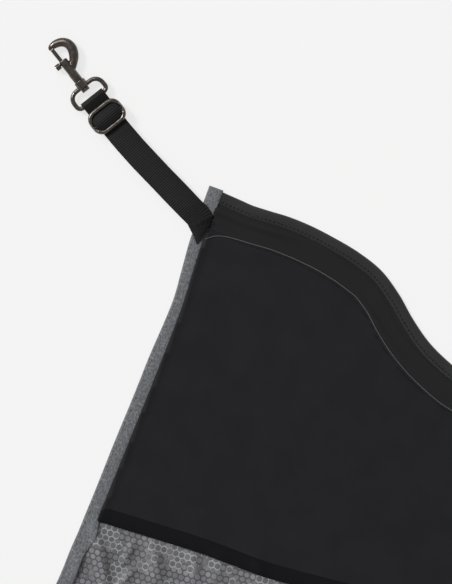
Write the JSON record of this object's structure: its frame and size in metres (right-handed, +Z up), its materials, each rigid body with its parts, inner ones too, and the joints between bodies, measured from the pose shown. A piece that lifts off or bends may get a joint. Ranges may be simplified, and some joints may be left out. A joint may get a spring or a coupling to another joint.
{
  "type": "fly sheet",
  "caption": "Horse fly sheet laid out flat, inner side up: grey rip-pattern shell, black shoulder lining, chest strap with slider and bolt snap, belly surcingles.",
  "frame": {"origin": "under the middle of the laid-out sheet, on the surface it lies on", "axes": "+X runs back along the spine towards the tail, +Y to the left half, +Z up, the side that faces the horse"},
  "size_m": [2.1624, 1.904, 0.0121],
  "materials": {
    "shell_cloth": "hexagon rip fabric, satin",
    "lining_cloth": "soft satin lining",
    "facing_cloth": "matt woven",
    "binding_tape": "matt woven tape",
    "melange_tape": "grey melange twill tape",
    "black_webbing": "ribbed webbing",
    "gunmetal": "dark gunmetal plating"
  },
  "bodies": {
    "sheet_right": {"belly_hem_right": "binding_tape", "chest_anchor_right": "black_webbing", "closing_strip_right": "melange_tape", "lining_right": "lining_cloth", "lining_roll_right": "lining_cloth", "neck_binding_right": "binding_tape", "neck_facing_right": "facing_cloth", "rear_hem_right": "binding_tape", "shell_right": "shell_cloth", "spine_tape_right": "binding_tape", "surcingle_anchor_front_right": "black_webbing", "surcingle_anchor_rear_right": "black_webbing", "surcingle_patch_front_right": "facing_cloth", "surcingle_patch_rear_right": "facing_cloth"},
    "sheet_left": {"belly_hem_left": "binding_tape", "closing_strip_left": "melange_tape", "lining_left": "lining_cloth", "lining_roll_left": "lining_cloth", "neck_binding_left": "binding_tape", "neck_facing_left": "facing_cloth", "rear_hem_left": "binding_tape", "ring_anchor_left": "black_webbing", "ring_tab": "black_webbing", "shell_left": "shell_cloth", "spine_tape_left": "binding_tape", "surcingle_anchor_front_left": "black_webbing", "surcingle_anchor_rear_left": "black_webbing", "surcingle_patch_front_left": "facing_cloth", "surcingle_patch_rear_left": "facing_cloth"},
    "chest_strap": {"chest_strap": "black_webbing"},
    "chest_slider": {"chest_slider": "gunmetal"},
    "snap_eye": {"snap_eye": "gunmetal"},
    "snap_hook": {"snap_hook": "gunmetal", "swivel_rivet": "gunmetal"},
    "snap_bolt": {"snap_bolt": "gunmetal"},
    "chest_ring": {"chest_ring": "gunmetal"},
    "surcingle_strap_front": {"surcingle_strap_front": "black_webbing"},
    "surcingle_slider_front": {"surcingle_slider_front": "gunmetal"},
    "surcingle_hook_front": {"surcingle_hook_front": "gunmetal"},
    "surcingle_tab_front": {"surcingle_tab_front": "black_webbing"},
    "surcingle_plate_front": {"surcingle_plate_front": "gunmetal"},
    "surcingle_strap_rear": {"surcingle_strap_rear": "black_webbing"},
    "surcingle_slider_rear": {"surcingle_slider_rear": "gunmetal"},
    "surcingle_hook_rear": {"surcingle_hook_rear": "gunmetal"},
    "surcingle_tab_rear": {"surcingle_tab_rear": "black_webbing"},
    "surcingle_plate_rear": {"surcingle_plate_rear": "gunmetal"}
  },
  "joints": [
    {"name": "spine_fold", "type": "hinge", "parent": "sheet_right", "child": "sheet_left", "pos_m": [0, 0, 0.0125], "axis": [1, 0, 0], "range_deg": [0, 178]},
    {"name": "chest_strap_fold", "type": "hinge", "parent": "sheet_right", "child": "chest_strap", "pos_m": [-0.86732, -0.50227, 0.00745], "axis": [0.4353, -0.9003, 0], "range_deg": [-150, 0]},
    {"name": "chest_slider_slide", "type": "slide", "parent": "chest_strap", "child": "chest_slider", "axis": [0.9936, -0.1132, 0], "range_m": [0, 0.035]},
    {"name": "snap_eye_tilt", "type": "hinge", "parent": "chest_strap", "child": "snap_eye", "pos_m": [-1.01503, -0.494, 0.0058], "axis": [0.1132, 0.9936, 0], "range_deg": [-60, 60]},
    {"name": "snap_swivel", "type": "hinge", "parent": "snap_eye", "child": "snap_hook", "pos_m": [-1.01503, -0.494, 0.0058], "axis": [-0.9936, 0.1132, 0], "continuous": true},
    {"name": "snap_bolt_slide", "type": "slide", "parent": "snap_hook", "child": "snap_bolt", "axis": [0.9936, -0.1132, 0], "range_m": [0, 0.011], "stiffness_N_per_m": 120, "springref_m": -0.008},
    {"name": "chest_ring_swing", "type": "hinge", "parent": "sheet_left", "child": "chest_ring", "pos_m": [-0.89713, 0.49888, 0.0058], "axis": [-0.1132, 0.9936, 0], "range_deg": [-60, 140]},
    {"name": "surcingle_strap_front_fold", "type": "hinge", "parent": "sheet_right", "child": "surcingle_strap_front", "pos_m": [0.05122, -0.952, 0.0058], "axis": [1, 0, 0], "range_deg": [0, 170]},
    {"name": "surcingle_slider_front_slide", "type": "slide", "parent": "surcingle_strap_front", "child": "surcingle_slider_front", "axis": [0, -1, 0], "range_m": [0, 0.14]},
    {"name": "surcingle_hook_front_swing", "type": "hinge", "parent": "surcingle_strap_front", "child": "surcingle_hook_front", "pos_m": [0.05122, -0.352, 0.0058], "axis": [1, 0, 0], "range_deg": [0, 100]},
    {"name": "surcingle_tab_front_fold", "type": "hinge", "parent": "sheet_left", "child": "surcingle_tab_front", "pos_m": [0.05122, 0.952, 0.0058], "axis": [-1, 0, 0], "range_deg": [0, 170]},
    {"name": "surcingle_plate_front_swing", "type": "hinge", "parent": "surcingle_tab_front", "child": "surcingle_plate_front", "pos_m": [0.05122, 0.867, 0.0058], "axis": [-1, 0, 0], "range_deg": [0, 120]},
    {"name": "surcingle_strap_rear_fold", "type": "hinge", "parent": "sheet_right", "child": "surcingle_strap_rear", "pos_m": [0.35122, -0.952, 0.0058], "axis": [1, 0, 0], "range_deg": [0, 170]},
    {"name": "surcingle_slider_rear_slide", "type": "slide", "parent": "surcingle_strap_rear", "child": "surcingle_slider_rear", "axis": [0, -1, 0], "range_m": [0, 0.14]},
    {"name": "surcingle_hook_rear_swing", "type": "hinge", "parent": "surcingle_strap_rear", "child": "surcingle_hook_rear", "pos_m": [0.35122, -0.352, 0.0058], "axis": [1, 0, 0], "range_deg": [0, 100]},
    {"name": "surcingle_tab_rear_fold", "type": "hinge", "parent": "sheet_left", "child": "surcingle_tab_rear", "pos_m": [0.35122, 0.952, 0.0058], "axis": [-1, 0, 0], "range_deg": [0, 170]},
    {"name": "surcingle_plate_rear_swing", "type": "hinge", "parent": "surcingle_tab_rear", "child": "surcingle_plate_rear", "pos_m": [0.35122, 0.867, 0.0058], "axis": [-1, 0, 0], "range_deg": [0, 120]}
  ]
}
